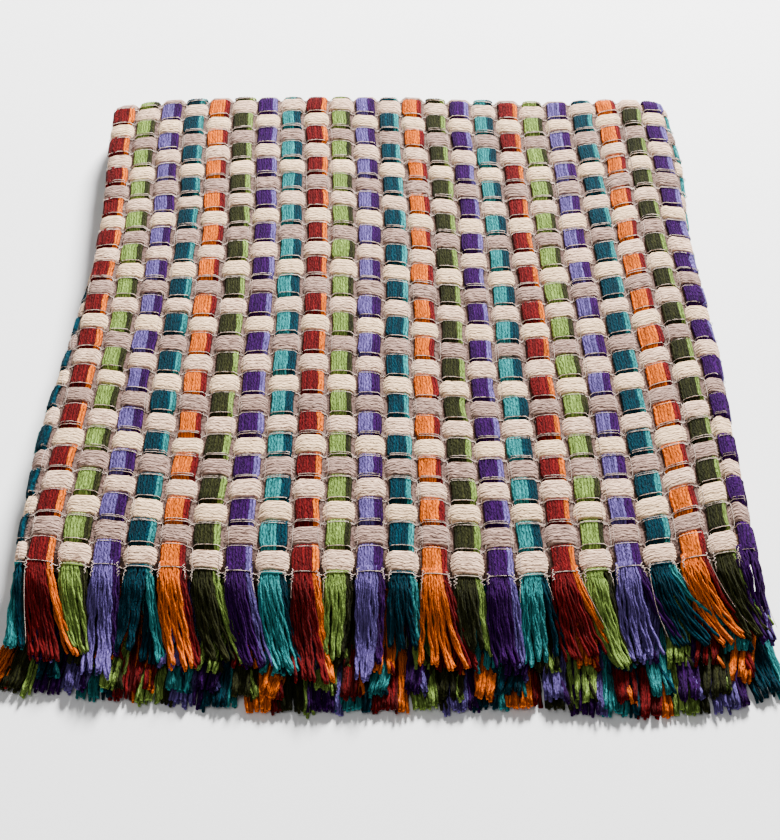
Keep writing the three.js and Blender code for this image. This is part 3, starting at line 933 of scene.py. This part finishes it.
def fibre_noise(tree, place, across, along, detail):
    """Noise stretched along the yarns."""
    mapping = tree.nodes.new("ShaderNodeMapping")
    mapping.inputs["Scale"].default_value = (across, along, 1)
    noise = tree.nodes.new("ShaderNodeTexNoise")
    noise.inputs["Scale"].default_value = 1
    noise.inputs["Detail"].default_value = detail
    link(tree, (place, mapping.inputs["Vector"]), (mapping.outputs[0], noise.inputs["Vector"]))
    return noise.outputs["Fac"]


def span(tree, value, low, high, to_low, to_high):
    node = tree.nodes.new("ShaderNodeMapRange")
    for name, number in zip(("From Min", "From Max", "To Min", "To Max"), (low, high, to_low, to_high)):
        node.inputs[name].default_value = number
    tree.links.new(value, node.inputs["Value"])
    return node.outputs[0]


def yarn_shader(material, sheen):
    material.use_nodes = True
    shader = material.node_tree.nodes["Principled BSDF"]
    shader.inputs["Roughness"].default_value = 0.9
    shader.inputs["Specular IOR Level"].default_value = 0.04
    shader.inputs["Sheen Weight"].default_value = sheen
    shader.inputs["Sheen Roughness"].default_value = 0.5
    return shader


def yarn_material(name, sheen, twist_depth, streak_depth, painted_valley_light, flecks=None):
    """Plied yarn: its own colour, with painted shade between the yarns and a painted highlight along
    their crests, squiggly fibres and soft sheen.
    flecks is how strong the darker fibres along it are, and their colour."""
    material = bpy.data.materials.new(name)
    shader = yarn_shader(material, sheen)
    tree = material.node_tree
    place = tree.nodes.new("ShaderNodeUVMap")
    place.uv_map = "yarn_place"
    own = tree.nodes.new("ShaderNodeAttribute")
    own.attribute_name = "yarn_colour"
    axes = tree.nodes.new("ShaderNodeSeparateXYZ")
    link(tree, (place.outputs[0], axes.inputs[0]))
    wander = fibre_noise(tree, place.outputs[0], 0.6, 5.5, 2)
    moved = math_node(tree, "ADD", axes.outputs[0], span(tree, wander, 0.3, 0.7, -0.34, 0.34))
    across = math_node(tree, "FRACT", moved)
    off = math_node(tree, "ABSOLUTE", math_node(tree, "SUBTRACT", across, 0.5))
    valley = math_node(tree, "POWER", math_node(tree, "MULTIPLY", off, 2), 3)
    squiggle = fibre_noise(tree, place.outputs[0], 2.2, 6.5, 3)
    streaks = fibre_noise(tree, place.outputs[0], 1.9, 1.6, 2)
    light = span(tree, squiggle, 0.34, 0.66, 1 - twist_depth, 1 + twist_depth)
    long_light = span(tree, streaks, 0.32, 0.68, 1 - streak_depth, 1 + streak_depth)
    light = math_node(tree, "MULTIPLY", light, long_light)
    # painted shade in the grooves between the yarns (and between the plies of loose yarns), and a
    # painted highlight on their crests
    light = math_node(tree, "MULTIPLY", light, span(tree, valley, 0, 1, 1.1, painted_valley_light))
    tone = tree.nodes.new("ShaderNodeVectorMath")
    tone.operation = "SCALE"
    link(tree, (own.outputs["Color"], tone.inputs[0]), (light, tone.inputs["Scale"]))
    result = tone.outputs[0]
    if flecks:
        strength, tint = flecks
        lines = fibre_noise(tree, place.outputs[0], 3.4, 3.2, 4)
        mix = tree.nodes.new("ShaderNodeMix")
        mix.data_type = "RGBA"
        mix.inputs["B"].default_value = (*tint, 1)
        amount = span(tree, lines, 0.5, 0.62, 0, strength)
        link(tree, (amount, mix.inputs["Factor"]), (result, mix.inputs["A"]))
        result = mix.outputs["Result"]
    link(tree, (result, shader.inputs["Base Color"]))
    height = math_node(tree, "SUBTRACT", span(tree, squiggle, 0.2, 0.8, 0, 2), valley)
    bump = tree.nodes.new("ShaderNodeBump")
    bump.inputs["Strength"].default_value = 0.8
    bump.inputs["Distance"].default_value = 0.8 * MM
    link(tree, (height, bump.inputs["Height"]), (bump.outputs[0], shader.inputs["Normal"]))
    return material


def plain_material(name, tint):
    material = bpy.data.materials.new(name)
    material.use_nodes = True
    shader = material.node_tree.nodes["Principled BSDF"]
    shader.inputs["Base Color"].default_value = (*tint, 1)
    shader.inputs["Roughness"].default_value = 0.8
    return material


FLOOR_HALF = 8


def add_floor():
    mesh = bpy.data.meshes.new("floor")
    form = bmesh.new()
    bmesh.ops.create_grid(form, x_segments=1, y_segments=1, size=FLOOR_HALF)
    form.to_mesh(mesh)
    form.free()
    mesh.materials.append(plain_material("floor", (0.9, 0.9, 0.9)))
    floor = bpy.data.objects.new("floor", mesh)
    bpy.context.scene.collection.objects.link(floor)


def add_lamp(name, place, size, watts, target=(0, 0, 0)):
    data = bpy.data.lights.new(name, "AREA")
    data.shape = "DISK"
    data.size = size
    data.energy = watts
    lamp = bpy.data.objects.new(name, data)
    lamp.location = place
    towards = np.array(target) - np.array(place)
    flat = math.hypot(towards[0], towards[1])
    heading = math.atan2(towards[1], towards[0]) - math.pi / 2
    lamp.rotation_euler = (math.atan2(flat, -towards[2]), 0, heading)
    bpy.context.scene.collection.objects.link(lamp)


def add_light():
    world = bpy.data.worlds.new("world")
    world.use_nodes = True
    world.node_tree.nodes["Background"].inputs["Color"].default_value = (1, 1, 1, 1)
    world.node_tree.nodes["Background"].inputs["Strength"].default_value = 0.21
    bpy.context.scene.world = world
    add_lamp("key_lamp", (1.1, 3.7, 2.35), size=1.2, watts=1420)
    add_lamp("fill_lamp", (-0.5, -1.0, 2.6), size=1.5, watts=14)


set_camera()
# Sheen, depth of the twist and of the streaks, painted light between the yarns (painted shade in the
# grooves), and flecks
coloured = yarn_material("coloured_yarn", 0.01, 0.32, 0.38, 0.25)
loose = yarn_material("loose_coloured_yarn", 0.01, 0.25, 0.3, 0.4)
natural = {
    "cream": yarn_material("cream_yarn", 0.1, 0.08, 0.1, 0.7, (0.4, colour(140, 108, 84))),
    "oat": yarn_material("oat_yarn", 0.1, 0.1, 0.12, 0.65, (0.7, colour(112, 82, 68))),
    "taupe": yarn_material("taupe_yarn", 0.1, 0.12, 0.14, 0.6, (0.9, colour(72, 50, 42))),
}
thread = yarn_material("binding_thread", 0.05, 0.12, 0.12, 0.9)
for family, name in enumerate(FAMILIES):
    parts = [warp_column(column) for column in family_columns(family)]
    make_piece(f"warp_{name}", parts, coloured)
for step, (name, shade) in WEFT_SHADES.items():
    parts = [weft_row(row, shade) for row in range(1, ROWS + 1) if row % 3 == step]
    make_piece(f"weft_{name}", parts, natural[name])
for name, parts in (
    ("cross_threads", cross_threads()),
    ("lengthwise_threads", lengthwise_threads()),
    ("loose_threads", loose_threads()),
):
    make_piece(name, parts, thread)
for end, place in enumerate(("upper", "lower")):
    for family, name in enumerate(FAMILIES):
        parts = fringe_parts(end, family)
        piece = make_piece(f"fringe_{place}_{name}", parts, loose)
        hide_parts(f"fringe_{place}")
ground = ground_sheet(natural["taupe"])
add_floor()
add_light()
